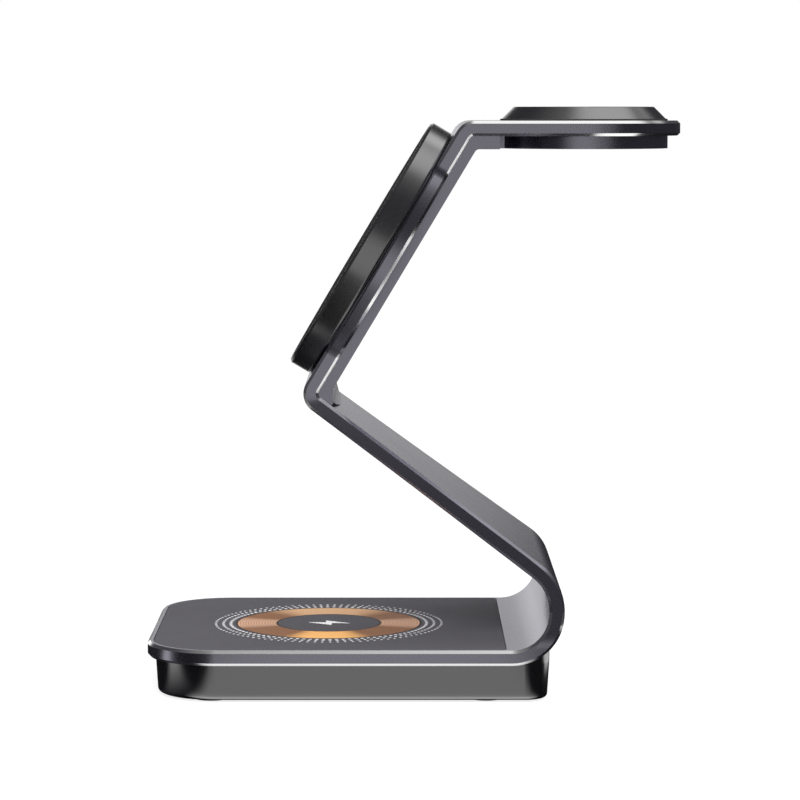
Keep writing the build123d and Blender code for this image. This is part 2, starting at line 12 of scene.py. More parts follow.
import bmesh
import bpy
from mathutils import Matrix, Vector


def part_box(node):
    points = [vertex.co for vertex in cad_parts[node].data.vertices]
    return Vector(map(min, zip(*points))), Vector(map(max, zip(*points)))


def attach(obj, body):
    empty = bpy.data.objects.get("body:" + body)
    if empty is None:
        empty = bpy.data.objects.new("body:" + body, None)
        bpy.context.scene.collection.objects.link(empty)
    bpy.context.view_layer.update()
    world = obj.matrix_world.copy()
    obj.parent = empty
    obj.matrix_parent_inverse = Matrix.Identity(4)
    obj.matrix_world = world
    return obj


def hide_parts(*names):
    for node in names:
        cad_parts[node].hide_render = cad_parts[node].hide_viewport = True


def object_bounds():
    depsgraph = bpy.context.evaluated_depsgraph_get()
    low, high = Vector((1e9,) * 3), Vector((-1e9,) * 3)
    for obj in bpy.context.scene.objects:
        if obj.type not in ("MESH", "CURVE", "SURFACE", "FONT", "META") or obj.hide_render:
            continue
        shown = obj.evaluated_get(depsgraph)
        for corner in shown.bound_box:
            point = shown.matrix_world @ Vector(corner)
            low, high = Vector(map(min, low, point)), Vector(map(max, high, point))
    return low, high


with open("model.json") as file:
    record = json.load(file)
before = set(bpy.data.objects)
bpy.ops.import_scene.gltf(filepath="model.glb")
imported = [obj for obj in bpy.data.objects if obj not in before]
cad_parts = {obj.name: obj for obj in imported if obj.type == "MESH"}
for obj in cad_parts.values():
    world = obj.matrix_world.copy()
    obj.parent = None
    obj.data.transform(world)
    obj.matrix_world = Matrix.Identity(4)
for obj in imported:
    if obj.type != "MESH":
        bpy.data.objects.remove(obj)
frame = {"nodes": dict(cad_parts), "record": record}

MM = 0.001
scene = bpy.context.scene
cad_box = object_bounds()
print("CAD box in mm:", [[round(value / MM, 2) for value in corner] for corner in cad_box])

# %% [markdown]
# ## Camera
# A product picture like this is taken from far away with a long lens, so that upright edges stay
# upright and near and far sides have almost the same size. The place, tilt and lens below were
# found by fitting the corners of the stand to the photograph.

# %% Camera
camera_place = Vector((-4.12, -621.64, 114.88)) * MM
camera_tilt = math.radians(5.388)
camera_turn = math.radians(-0.087)

camera_data = bpy.data.cameras.new("side_view")
camera_data.sensor_width = 36.0
camera_data.lens = 138.6
camera = bpy.data.objects.new("side_view", camera_data)
camera.location = camera_place
camera.rotation_euler = (math.pi / 2 - camera_tilt, 0, camera_turn)
scene.collection.objects.link(camera)
scene.camera = camera
scene.view_settings.view_transform = "Standard"
print("camera at", [round(value, 4) for value in camera.location], "lens", camera_data.lens)

# %% [markdown]
# ## Node helpers
# Materials and the world are node trees. One helper adds a node, sets its options, and fills its
# sockets: a value is written into the socket, and another node's socket is linked to it. The others
# are short ways to write arithmetic, a soft step and a mix of two colours. A Mix node has sockets for
# every kind of data, so its colour sockets are taken by their number.

# %% Node helpers
MIX_FIRST, MIX_SECOND, MIX_RESULT = 6, 7, 2


def add_node(tree, kind, inputs=None, **options):
    """Adds a node to a tree, with its options and its input sockets by name or number."""
    node = tree.nodes.new(kind)
    for option, value in options.items():
        setattr(node, option, value)
    for socket, value in (inputs or {}).items():
        if isinstance(value, bpy.types.NodeSocket):
            tree.links.new(value, node.inputs[socket])
        else:
            node.inputs[socket].default_value = value
    return node


def calculate(tree, operation, *values):
    """One step of arithmetic. Gives the output socket."""
    return add_node(tree, "ShaderNodeMath", dict(enumerate(values)), operation=operation).outputs[0]


def soft_step(tree, value, low, high, out_low=0.0, out_high=1.0):
    """A soft step from out_low to out_high while value goes from low to high."""
    inputs = {"Value": value, "From Min": low, "From Max": high, "To Min": out_low, "To Max": out_high}
    return add_node(tree, "ShaderNodeMapRange", inputs, interpolation_type="SMOOTHSTEP").outputs[0]


def mix_colors(tree, share, first, second, way="MIX"):
    """A colour between two colours, by a share from 0 to 1, or another way to join them."""
    node = add_node(tree, "ShaderNodeMix", {"Factor": share}, data_type="RGBA", blend_type=way)
    for number, color in ((MIX_FIRST, first), (MIX_SECOND, second)):
        if isinstance(color, bpy.types.NodeSocket):
            tree.links.new(color, node.inputs[number])
        else:
            node.inputs[number].default_value = (*color, 1)
    return node.outputs[MIX_RESULT]


print("node helpers ready")

# %% [markdown]
# ## Floor
# The stand is pictured on plain white. A pale floor under it catches the soft shadow. Some light of
# its own is added only for rays that look at it, so it reads as white without lighting the object.

# %% Floor
white = (1, 1, 1)
floor_reach = 3000 * MM
floor_glow = 0.8
floor_grey = (0.3, 0.3, 0.3, 1)

floor_mesh = bpy.data.meshes.new("floor")
floor_form = bmesh.new()
bmesh.ops.create_grid(floor_form, x_segments=1, y_segments=1, size=floor_reach)
floor_form.to_mesh(floor_mesh)
floor_form.free()
floor = bpy.data.objects.new("floor", floor_mesh)
scene.collection.objects.link(floor)

floor_finish = bpy.data.materials.new("white_floor")
floor_finish.use_nodes = True
tree = floor_finish.node_tree
tree.nodes.clear()
path = add_node(tree, "ShaderNodeLightPath").outputs
glow = calculate(tree, "MULTIPLY", path["Is Camera Ray"], floor_glow)
glow_light = add_node(tree, "ShaderNodeEmission", {"Color": (*white, 1), "Strength": glow})
matt = add_node(tree, "ShaderNodeBsdfDiffuse", {"Color": floor_grey})
seen_floor = add_node(tree, "ShaderNodeAddShader", {0: glow_light.outputs[0], 1: matt.outputs[0]})
floor_mesh.materials.append(floor_finish)
print("floor", 2 * floor_reach, "m wide")

# %% [markdown]
# ## Floor in mirrors
# Mirroring pieces see the floor as a photographer would light it. A fan of light spreads before and
# behind the stand, with a brighter line close to the base and darkness under the casing. It puts the
# white line under the base and the even grey on the flat sides. Small lamps could light the floor
# like this, but a pattern in the floor's own light is easier to place.

# %% Fan of light
base_middle = -10.5 * MM
fan_half_width = 31.5 * MM
fan_soft_edge = 8 * MM
fan_start = 220 * MM
fan_spread = 0.35
back_lean = 0.27
back_softening = 0.1
front_level, back_level, near_level, dark_level = 0.43, 0.9, 0.55, 0.012
under_reach, near_reach, middle_reach = 31.5 * MM, 33 * MM, 30 * MM
under_fade, near_fade = 0.97, 1.1

spot = add_node(tree, "ShaderNodeTexCoord").outputs["Object"]
spot = add_node(tree, "ShaderNodeSeparateXYZ", {0: spot}).outputs
away = calculate(tree, "ABSOLUTE", spot["Y"])
past_start = calculate(tree, "MAXIMUM", calculate(tree, "SUBTRACT", away, fan_start), 0.0)
behind = calculate(tree, "MAXIMUM", calculate(tree, "SUBTRACT", spot["Y"], fan_start), 0.0)
from_middle = calculate(tree, "SUBTRACT", spot["X"], base_middle)
leaning = calculate(tree, "MULTIPLY_ADD", behind, back_lean, from_middle)
sideways = calculate(tree, "ABSOLUTE", leaning)
outside = calculate(tree, "MULTIPLY_ADD", past_start, -fan_spread, sideways)
fan_edge = calculate(tree, "MULTIPLY_ADD", behind, back_softening, fan_half_width + fan_soft_edge)
fan = soft_step(tree, outside, fan_edge, fan_half_width)
level = soft_step(tree, spot["Y"], -middle_reach, middle_reach, front_level, back_level)
near = soft_step(tree, away, near_fade * near_reach, near_reach, 0.0, near_level)
level = calculate(tree, "ADD", level, near)
under = soft_step(tree, away, under_fade * under_reach, under_reach)
fan = calculate(tree, "MULTIPLY", fan, under)
level = calculate(tree, "MULTIPLY_ADD", fan, level, dark_level)
print("floor fan", round(2 * fan_half_width / MM), "mm wide at the stand")

# %% [markdown]
# A pool of light to the right lights the rear chamfer of the phone arm, and a narrow strip at the
# front left puts a glint on the left corners of the base and its casing. The rest of the floor is
# dark, with a faint violet cast, so that round corners turn black.

# %% Pool and strip of light
pool_level = 1.2
pool_left, pool_right, pool_half_width = 54 * MM, 240 * MM, 17 * MM
pool_soft_left, pool_soft_right, pool_soft_side = 12 * MM, 60 * MM, 7 * MM
strip_level, strip_start, strip_end = 1.0, -46 * MM, -100 * MM
strip_middle, strip_half_width, strip_soft_side = -30 * MM, 4 * MM, 7 * MM

pool_edges = [
    soft_step(tree, spot["X"], pool_left - pool_soft_left, pool_left),
    soft_step(tree, spot["X"], pool_right + pool_soft_right, pool_right),
    soft_step(tree, away, pool_half_width + pool_soft_side, pool_half_width),
]
pool = pool_level
for pool_edge in pool_edges:
    pool = calculate(tree, "MULTIPLY", pool_edge, pool)
level = calculate(tree, "ADD", level, pool)
off_strip = calculate(tree, "ABSOLUTE", calculate(tree, "SUBTRACT", spot["Y"], strip_middle))
strip = soft_step(tree, off_strip, strip_half_width + strip_soft_side, strip_half_width)
strip_gain = soft_step(tree, spot["X"], strip_start, strip_end, 0.0, strip_level)
level = calculate(tree, "MULTIPLY_ADD", strip, strip_gain, level)
print("pool", round((pool_right - pool_left) / MM), "mm long, strip from", round(strip_start / MM), "mm")

# %% Floor with both looks
dark_violet = (1.0, 0.96, 1.15)
violet_end = 0.2

fan_color = mix_colors(tree, soft_step(tree, level, 0.0, violet_end), dark_violet, white)
fan_light = add_node(tree, "ShaderNodeEmission", {"Color": fan_color, "Strength": level})
mirrored = calculate(tree, "MAXIMUM", path["Is Glossy Ray"], path["Is Transmission Ray"])
two_floors = {0: mirrored, 1: seen_floor.outputs[0], 2: fan_light.outputs[0]}
both_floors = add_node(tree, "ShaderNodeMixShader", two_floors)
add_node(tree, "ShaderNodeOutputMaterial", {"Surface": both_floors.outputs[0]})
print("floor finish has", len(tree.nodes), "nodes")

# %% [markdown]
# ## Studio
# Metal shows what stands around it, so the studio matters as much as the finish. Matt surfaces get
# an even soft light. Mirroring surfaces see panels: a white backdrop behind the stand, to the left,
# and a grey card round the camera, both low bands along the horizon, a soft box overhead in the glow
# of a ceiling, and a small card high up at the rear right. Near darkness with a violet cast lies
# between them. That gives the plate its bright chamfers and the black pads their soft bands. The
# panels are worked out from the direction of a ray, so nothing has to be modelled for them.

# %% Studio panels
world = bpy.data.worlds.new("studio")
scene.world = world
world.use_nodes = True
sky = world.node_tree
sky.nodes.clear()
sky_direction = add_node(sky, "ShaderNodeTexCoord").outputs["Generated"]
sky_height = add_node(sky, "ShaderNodeSeparateXYZ", {0: sky_direction}).outputs["Z"]
sky_height = calculate(sky, "ABSOLUTE", sky_height)


def soft_panel(facing, inner_angle, outer_angle, strength, height=None):
    """Brightness of a round panel of light in one direction, with a soft rim, angles in degrees.
    A height makes it a low band along the horizon, which fades out at twice that height."""
    inputs = {0: sky_direction, 1: Vector(facing).normalized()}
    aim = add_node(sky, "ShaderNodeVectorMath", inputs, operation="DOT_PRODUCT").outputs["Value"]
    rim = math.cos(math.radians(outer_angle))
    core = math.cos(math.radians(inner_angle))
    light = soft_step(sky, aim, rim, core, 0.0, strength)
    if height:
        light = calculate(sky, "MULTIPLY", light, soft_step(sky, sky_height, 2 * height, height))
    return light


studio_panels = {
    "backdrop": soft_panel((-0.5, 1, 0), 28, 42, 1.1, height=0.16),
    "overhead": soft_panel((0.27, 0.12, 0.95), 16, 28, 0.8),
    "ceiling": soft_panel((0.2, 0.1, 1), 0, 50, 0.2),
    "camera card": soft_panel((0.05, -1, 0), 24, 38, 0.36, height=0.12),
    "rear card": soft_panel((0.36, 0.62, 0.7), 5, 14, 1.3),
}
print("studio panels:", ", ".join(studio_panels))

# %% Studio world
dark_strength, even_strength, camera_strength = 0.055, 0.68, 1.0

studio_light = dark_strength
for panel_light in studio_panels.values():
    studio_light = calculate(sky, "ADD", studio_light, panel_light)
path = add_node(sky, "ShaderNodeLightPath").outputs
mirrored = calculate(sky, "MAXIMUM", path["Is Glossy Ray"], path["Is Transmission Ray"])
inputs = {"Color": (*white, 1), "Strength": even_strength}
even_light = add_node(sky, "ShaderNodeBackground", inputs)
studio_color = mix_colors(sky, soft_step(sky, studio_light, 0.0, violet_end), dark_violet, white)
inputs = {"Color": studio_color, "Strength": studio_light}
mirror_light = add_node(sky, "ShaderNodeBackground", inputs)
inputs = {"Color": (*white, 1), "Strength": camera_strength}
camera_light = add_node(sky, "ShaderNodeBackground", inputs)
two_lights = {0: mirrored, 1: even_light.outputs[0], 2: mirror_light.outputs[0]}
for_mirrors = add_node(sky, "ShaderNodeMixShader", two_lights)
two_lights = {0: path["Is Camera Ray"], 1: for_mirrors.outputs[0], 2: camera_light.outputs[0]}
for_camera = add_node(sky, "ShaderNodeMixShader", two_lights)
add_node(sky, "ShaderNodeOutputWorld", {"Surface": for_camera.outputs[0]})
print("studio world has", len(sky.nodes), "nodes")

# %% [markdown]
# ## Lamps
# Two square soft boxes shape the matt surfaces, one overhead and one low before the stand. Each has a
# place in millimetres, a width in metres and a power in watts, and is turned to the stand. Mirrors
# don't show them, because the panels above are what mirrors see.

# %% Lamps
lamps = {
    "overhead_box": ((0, 50, 950), 0.5, 2.0),
    "front_fill": ((60, -480, 230), 0.4, 4.6),
}
for name, (place, size, power) in lamps.items():
    lamp_data = bpy.data.lights.new(name, "AREA")
    lamp_data.shape = "SQUARE"
    lamp_data.size = size
    lamp_data.energy = power
    lamp = bpy.data.objects.new(name, lamp_data)
    lamp.location = Vector(place) * MM
    lamp.rotation_euler = (-lamp.location).to_track_quat("-Z", "Y").to_euler()
    lamp.visible_glossy = False
    scene.collection.objects.link(lamp)
    print(name, size, "m wide", power, "W")

# %% [markdown]
# ## Landmarks
# Prints and small pieces sit on the solids, so their places are read from the boxes of the nodes:
# the middle of the copper ring, the middle of the puck, and the levels that they rest on. The phone
# pad leans, so it also gets a direction.

# %% Landmarks
def box_centre(node):
    """Middle of a node's box."""
    low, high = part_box(node)
    return (low + high) / 2


panel_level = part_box("base_pad")[1].z
ring_centre = box_centre("copper_ring")
ring_centre.z = panel_level
puck_centre = box_centre("watch_puck")
pad_centre = box_centre("phone_pad_face")
phone_lean = math.radians(59.1)
pad_turn = (0, -phone_lean, 0)
print("copper ring at", [round(value / MM, 2) for value in ring_centre])
print("phone pad at", [round(value / MM, 2) for value in pad_centre])

# %% [markdown]
# ## Shared effects
# Blasted metal, moulded plastic and rubber all have a fine grain, which differs in scale and depth.
# One shader group makes it: a tone that drifts softly over the surface, and a height for bump. A
# second group gives the concentric lines of turned metal and of wound wire, and a third one the dots
# of a dotted circle. Sizes inside the groups are in millimetres.

# %% Group helper
def new_group(name, inputs, outputs):
    """A shader node group with number inputs, or a place where the default is None."""
    group = bpy.data.node_groups.new(name, "ShaderNodeTree")
    for socket, default in inputs.items():
        kind = "NodeSocketVector" if default is None else "NodeSocketFloat"
        made = group.interface.new_socket(name=socket, in_out="INPUT", socket_type=kind)
        if default is not None:
            made.default_value = default
    for socket in outputs:
        group.interface.new_socket(name=socket, in_out="OUTPUT", socket_type="NodeSocketFloat")
    start = group.nodes.new("NodeGroupInput").outputs
    end = group.nodes.new("NodeGroupOutput").inputs
    return group, start, end


print("group helper ready")

# %% Grain group
grain_share = 0.6
noise_details = {"Grain": 3.0, "Drift": 2.0}

grain_group, start, end = new_group(
    "fine_grain", {"Place": None, "Grain": 0.2, "Drift": 20.0}, ["Tone", "Height"]
)
noises = {}
for size, detail in noise_details.items():
    scale = calculate(grain_group, "DIVIDE", 1 / MM, start[size])
    inputs = {"Vector": start["Place"], "Scale": scale, "Detail": detail}
    noises[size] = add_node(grain_group, "ShaderNodeTexNoise", inputs).outputs["Fac"]
fine = calculate(grain_group, "MULTIPLY", noises["Grain"], grain_share)
tone = calculate(grain_group, "MULTIPLY_ADD", noises["Drift"], 1 - grain_share, fine)
grain_group.links.new(tone, end["Tone"])
grain_group.links.new(noises["Grain"], end["Height"])
print("group", grain_group.name, "has", len(grain_group.nodes), "nodes")

# %% Concentric lines group
full_turn = 2 * math.pi

ring_group, start, end = new_group(
    "concentric_lines", {"Place": None, "Pitch": 0.3}, ["Radius", "Turn", "Line"]
)
apart = add_node(ring_group, "ShaderNodeSeparateXYZ", {0: start["Place"]}).outputs
squares = [calculate(ring_group, "MULTIPLY", apart[axis], apart[axis]) for axis in ("X", "Y")]
distance = calculate(ring_group, "SQRT", calculate(ring_group, "ADD", *squares))
radius = calculate(ring_group, "DIVIDE", distance, MM)
angle = calculate(ring_group, "ARCTAN2", apart["Y"], apart["X"])
turns = calculate(ring_group, "DIVIDE", radius, start["Pitch"])
wave = calculate(ring_group, "SINE", calculate(ring_group, "MULTIPLY", turns, full_turn))
ring_group.links.new(radius, end["Radius"])
ring_group.links.new(calculate(ring_group, "DIVIDE", angle, full_turn), end["Turn"])
ring_group.links.new(calculate(ring_group, "MULTIPLY_ADD", wave, 0.5, 0.5), end["Line"])
print("group", ring_group.name, "has", len(ring_group.nodes), "nodes")

# %% Dotted circle group
dot_edge = 0.05

dot_group, start, end = new_group(
    "dotted_circle",
    {"Radius": 0.0, "Turn": 0.0, "Circle": 20.0, "Count": 96.0, "Dot": 0.25},
    ["Mask"],
)
place = calculate(dot_group, "MULTIPLY", start["Turn"], start["Count"])
share = calculate(dot_group, "SUBTRACT", calculate(dot_group, "FRACT", place), 0.5)
round_length = calculate(dot_group, "MULTIPLY", start["Circle"], full_turn)
dot_pitch = calculate(dot_group, "DIVIDE", round_length, start["Count"])
along = calculate(dot_group, "MULTIPLY", share, dot_pitch)
across = calculate(dot_group, "SUBTRACT", start["Radius"], start["Circle"])
squares = [calculate(dot_group, "MULTIPLY", side, side) for side in (along, across)]
distance = calculate(dot_group, "SQRT", calculate(dot_group, "ADD", *squares))
beyond = calculate(dot_group, "SUBTRACT", distance, start["Dot"])
dot_group.links.new(soft_step(dot_group, beyond, dot_edge, -dot_edge), end["Mask"])
print("group", dot_group.name, "has", len(dot_group.nodes), "nodes")

# %% [markdown]
# ## Starting a finish
# Most finishes differ only in their colours, their gloss and their grain. The helper starts such a
# material: its plain values are written on the shader's own sockets, and only what changes over the
# surface, the colour, the roughness and the bump, is linked. The size of the grain is in millimetres.

# %% Finish helper
tone_range = (0.3, 0.7)
finishes = {}


def new_finish(name, dark, light, rough, grain, bump, centre=(0, 0, 0), turn=(0, 0, 0), **sockets):
    """A Principled material with grain between two colours and two roughness values."""
    finish = bpy.data.materials.new(name)
    finish.use_nodes = True
    tree = finish.node_tree
    shader = tree.nodes["Principled BSDF"]
    for socket, value in sockets.items():
        shader.inputs[socket.replace("_", " ")].default_value = value
    object_place = add_node(tree, "ShaderNodeTexCoord").outputs["Object"]
    inputs = {"Vector": object_place, "Location": centre, "Rotation": turn}
    place = add_node(tree, "ShaderNodeMapping", inputs, vector_type="TEXTURE").outputs[0]
    inputs = {"Place": place, "Grain": grain}
    grains = add_node(tree, "ShaderNodeGroup", inputs, node_tree=grain_group).outputs
    color = mix_colors(tree, grains["Tone"], dark, light)
    tree.links.new(color, shader.inputs["Base Color"])
    roughness = soft_step(tree, grains["Tone"], *tone_range, *rough)
    tree.links.new(roughness, shader.inputs["Roughness"])
    inputs = {"Strength": bump, "Distance": grain * MM, "Height": grains["Height"]}
    relief = add_node(tree, "ShaderNodeBump", inputs)
    tree.links.new(relief.outputs[0], shader.inputs["Normal"])
    finishes[name] = finish
    return tree, shader, place, color, relief


def grey(level, tint=white):
    """A grey of one level, or a tinted grey."""
    return tuple(level * share for share in tint)


print("finish helper ready")

# %% [markdown]
# ## Metal and plastic finishes
# The plate is blasted and anodised: matt, grey, with a faint violet cast. Its chamfers are cut after
# anodising, so they are bare and bright. The cover has the plate's finish, and the casing is close to
# it in colour. The pads are black with a deep satin gloss, so they show soft bands of the studio.

# %% Outer finishes
metal = {"Metallic": 1.0}
soft_metal = {"Metallic": 1.0, "Specular_Tint": (0.8, 0.8, 0.8, 1)}
soft_touch = {"Specular_IOR_Level": 0.05}
violet = (1.0, 0.965, 1.12)
plate_greys = grey(0.39, violet), grey(0.42, violet)
plate_rough = (0.26, 0.28)

new_finish("anodised_aluminium", *plate_greys, plate_rough, 0.15, 0.003, **soft_metal)
new_finish("bright_cut", grey(0.86), grey(0.95), (0.12, 0.20), 0.10, 0.02, **metal)
new_finish("cover_aluminium", *plate_greys, plate_rough, 0.15, 0.003, **soft_metal)
new_finish("casing_plastic", grey(0.28), grey(0.32), (0.16, 0.22), 0.20, 0.01, **metal)
new_finish("pad_plastic", grey(0.0015), grey(0.003), (0.20, 0.26), 0.20, 0.01, IOR=3.5)
new_finish("pad_face_coating", grey(0.006), grey(0.016), (0.75, 0.90), 0.30, 0.04, **soft_touch)
new_finish("watch_face_coating", grey(0.020), grey(0.045), (0.35, 0.50), 0.20, 0.08)
new_finish("foot_rubber", grey(0.016), grey(0.040), (0.70, 0.90), 0.30, 0.40)
print(len(finishes), "outer finishes")

# %% [markdown]
# The screws and the socket are plain steel. Inside are black components, grey plastic, dark ferrite
# and nickel plated magnets, which have a warm cast. They hardly show while the stand is closed, but
# they do when it is taken apart.

# %% Inner finishes
warm = (1.0, 0.98, 0.94)

new_finish("screw_steel", grey(0.45), grey(0.65), (0.22, 0.36), 0.12, 0.05, **metal)
new_finish("socket_steel", grey(0.50), grey(0.70), (0.20, 0.32), 0.10, 0.05, **metal)
new_finish("component_black", grey(0.015), grey(0.040), (0.45, 0.60), 0.15, 0.15)
new_finish("inner_plastic", grey(0.09), grey(0.15), (0.45, 0.60), 0.30, 0.10)
new_finish("ferrite", grey(0.05), grey(0.11), (0.50, 0.70), 0.15, 0.25)
new_finish("magnet_nickel", grey(0.55, warm), grey(0.75, warm), (0.18, 0.30), 0.20, 0.05, **metal)
print(len(finishes), "finishes so far")

# %% [markdown]
# ## Panel print
# The panel is dark and soft coated. Three circles of white dots run round the copper ring, with the
# same number of dots in each, and a dark line closes the seam at both edges of the ring. All of it is
# worked out from the distance and the turn round the ring's middle, so no picture is needed.

# %% Panel finish
dotted_circles = [(19.95, 0.35), (21.47, 0.30), (23.0, 0.26)]
dot_white = (0.92, 0.92, 0.93)
ring_edges = (10.55, 18.75)
edge_half_width = 0.18
edge_dark = (0.016, 0.012, 0.010)
panel_greys = grey(0.068, violet), grey(0.088, violet)

tree, shader, place, color, relief = new_finish(
    "panel_coating", *panel_greys, (0.50, 0.62), 0.25, 0.10, ring_centre, Specular_IOR_Level=0.2
)
rings = add_node(tree, "ShaderNodeGroup", {"Place": place}, node_tree=ring_group).outputs
for ring_edge in ring_edges:
    off_edge = calculate(tree, "ABSOLUTE", calculate(tree, "SUBTRACT", rings["Radius"], ring_edge))
    edge_mask = soft_step(tree, off_edge, edge_half_width + dot_edge, edge_half_width - dot_edge)
    color = mix_colors(tree, edge_mask, color, edge_dark)
for circle, dot in dotted_circles:
    inputs = {"Radius": rings["Radius"], "Turn": rings["Turn"], "Circle": circle, "Dot": dot}
    dots = add_node(tree, "ShaderNodeGroup", inputs, node_tree=dot_group).outputs["Mask"]
    color = mix_colors(tree, dots, color, dot_white)
tree.links.new(color, shader.inputs["Base Color"])
print("panel with", len(dotted_circles), "dotted circles")

# %% [markdown]
# ## Copper
# The ring is a copper foil with fine turned lines. Such lines throw light into four cones: orange at
# the front, paler at the back, tan at the two sides, and brown between them. An anisotropic shader
# could make the cones, but the lamps would have to be placed for them, so here they are painted
# highlights: colours by the turn round the ring's middle. Only the roughness and the relief of the
# helper are kept.

# %% Copper ring
copper_brown = (0.26, 0.115, 0.05)
front_highlight_orange = (1.0, 0.52, 0.16)
back_highlight_pale = (0.72, 0.42, 0.22)
side_highlight_tan = (0.58, 0.33, 0.21)
foil_pitch, foil_depth, foil_relief = 0.55, 0.02 * MM, 0.3
side_highlight_range, back_highlight_range, front_highlight_range = (0.91, 0.995), (0.66, 0.97), (-0.86, -0.99)
line_range, line_shades = (0.0, 0.6), (0.55, 1.0)

tree, shader, place, color, relief = new_finish(
    "copper_print", copper_brown, side_highlight_tan, (0.34, 0.44), 0.15, 0.03, ring_centre, Specular_IOR_Level=0.02
)
inputs = {"Place": place, "Pitch": foil_pitch}
rings = add_node(tree, "ShaderNodeGroup", inputs, node_tree=ring_group).outputs
spin = calculate(tree, "MULTIPLY", rings["Turn"], full_turn)
lengthwise = calculate(tree, "ABSOLUTE", calculate(tree, "COSINE", spin))
crosswise = calculate(tree, "SINE", spin)
# painted highlights: tan at the sides, pale at the back and orange at the front, over the brown foil
copper = mix_colors(tree, soft_step(tree, lengthwise, *side_highlight_range), copper_brown, side_highlight_tan)
copper = mix_colors(tree, soft_step(tree, crosswise, *back_highlight_range), copper, back_highlight_pale)
copper = mix_colors(tree, soft_step(tree, crosswise, *front_highlight_range), copper, front_highlight_orange)
line_shade = soft_step(tree, rings["Line"], *line_range, *line_shades)
shaded = mix_colors(tree, 1.0, copper, line_shade, "MULTIPLY")
tree.links.new(shaded, shader.inputs["Base Color"])
tree.links.new(rings["Line"], relief.inputs["Height"])
relief.inputs["Distance"].default_value = foil_depth
relief.inputs["Strength"].default_value = foil_relief
print("copper ring with lines every", foil_pitch, "mm")

# %% [markdown]
# The coils inside are wound from copper wire. One line for each turn of wire, with a dark gap beside
# it, says that well enough at this size, so the turns aren't modelled one by one.

# %% Coils
wire_dark, wire_light, wire_gap = (0.60, 0.28, 0.12), (0.82, 0.42, 0.20), (0.25, 0.10, 0.04)
wire_pitch, wire_depth, wire_relief = 0.6, 0.15 * MM, 0.8
coils = {"earbud_coil": (0, 0, 0), "phone_coil": pad_turn, "watch_coil": (0, 0, 0)}

for coil, turn in coils.items():
    tree, shader, place, color, relief = new_finish(
        coil, wire_dark, wire_light, (0.25, 0.40), 0.2, 0.1, box_centre(coil), turn, **metal
    )
    inputs = {"Place": place, "Pitch": wire_pitch}
    rings = add_node(tree, "ShaderNodeGroup", inputs, node_tree=ring_group).outputs
    wound = mix_colors(tree, rings["Line"], wire_gap, color)
    tree.links.new(wound, shader.inputs["Base Color"])
    tree.links.new(rings["Line"], relief.inputs["Height"])
    relief.inputs["Distance"].default_value = wire_depth
    relief.inputs["Strength"].default_value = wire_relief
print(len(coils), "coils with lines every", wire_pitch, "mm")

# %% [markdown]
# ## Board and cables
# The board is green laminate with fine tracks, and the cables are amber film with copper conductors
# that run along them. Both patterns are stripes across the width of the stand, each with a dark
# colour, a light colour and a pitch in millimetres.

# %% Board and cable finishes
stripe_range = (0.2, 0.6)
stripes = {
    "board_laminate": ((0.012, 0.09, 0.04), (0.03, 0.20, 0.08), 1.6),
    "cable_film": ((0.38, 0.17, 0.04), (0.62, 0.36, 0.10), 1.0),
}
for name, (dark, light, pitch) in stripes.items():
    tree, shader, place, color, relief = new_finish(name, dark, light, (0.30, 0.45), 0.3, 0.1)
    across = add_node(tree, "ShaderNodeSeparateXYZ", {0: place}).outputs["Y"]
    steps = calculate(tree, "MULTIPLY", across, full_turn / (pitch * MM))
    stripe = soft_step(tree, calculate(tree, "SINE", steps), *stripe_range)
    tree.links.new(mix_colors(tree, stripe, dark, color), shader.inputs["Base Color"])
    tree.links.new(stripe, relief.inputs["Height"])
print("finishes:", ", ".join(finishes))

# %% [markdown]
# ## Dressing the solids
# The record names a material slot for each solid, and the finishes have the names of the slots, so
# one loop dresses all solids. A solid that has a finish of its own name, such as a coil, gets that.

# %% Put the finishes on the solids
for subpart in frame["record"]["subparts"]:
    node = subpart["node"]
    finish = finishes.get(node) or finishes[subpart["material_slot"]]
    frame["nodes"][node].material_slots[0].material = finish
print(len(frame["nodes"]), "solids dressed")

# %% [markdown]
# ## Plate with bright chamfers
# The plate is one solid, but its chamfers have another finish than its faces. A copy of its mesh gets
# two materials: a face is a chamfer if it stands at a slant to the sheet. The sheet turns with the
# bends, so its direction is worked out at each face from the bent line of the side view, in
# millimetres.

# %% Bent line of the plate
plate_start = Vector((cad_box[0].x, panel_level)) / MM
bend_radii = [7.4, 4.0, 4.0]
rear_opening = 36.5
rear_lean = math.radians(180 - rear_opening)
rear_tangent = bend_radii[0] * math.tan(rear_lean / 2)
base_flat, lower_arm_length, phone_arm_length, top_length = 71.5, 57.6, 63.5, 44.0

run_lengths = [base_flat + rear_tangent, rear_tangent + lower_arm_length, phone_arm_length, top_length]
run_angles = [0, rear_lean, phone_lean, 0]
runs = [Vector((math.cos(angle), math.sin(angle))) for angle in run_angles]
corners = [plate_start]
for run, length in zip(runs, run_lengths):
    corners.append(corners[-1] + run * length)
bends = []
for before, after, corner, radius in zip(runs, runs[1:], corners[1:], bend_radii):
    turn = before.angle(after)
    side = 1 if before.cross(after) > 0 else -1
    tangent = radius * math.tan(turn / 2)
    centre = corner - before * tangent + side * radius * Vector((-before.y, before.x))
    bends.append((centre, tangent))
print("bent line in mm:", [[round(value, 2) for value in corner] for corner in corners])

# %% Direction of the sheet
sheet_top, sheet_bottom = -1, 4


def sheet_direction(point):
    """Direction square to the sheet, at a point of the plate in mm."""
    flat = Vector((point.x, point.z))
    tangents = [0, *(tangent for centre, tangent in bends), 0]
    for index, run in enumerate(runs):
        away = flat - corners[index]
        depth = away.dot(Vector((run.y, -run.x)))
        on_run = tangents[index] <= away.dot(run) <= run_lengths[index] - tangents[index + 1]
        if on_run and sheet_top < depth < sheet_bottom:
            return Vector((-run.y, 0, run.x))
    centre = min((centre for centre, tangent in bends), key=lambda spot: (spot - flat).length)
    return Vector((flat.x - centre.x, 0, flat.y - centre.y)).normalized()


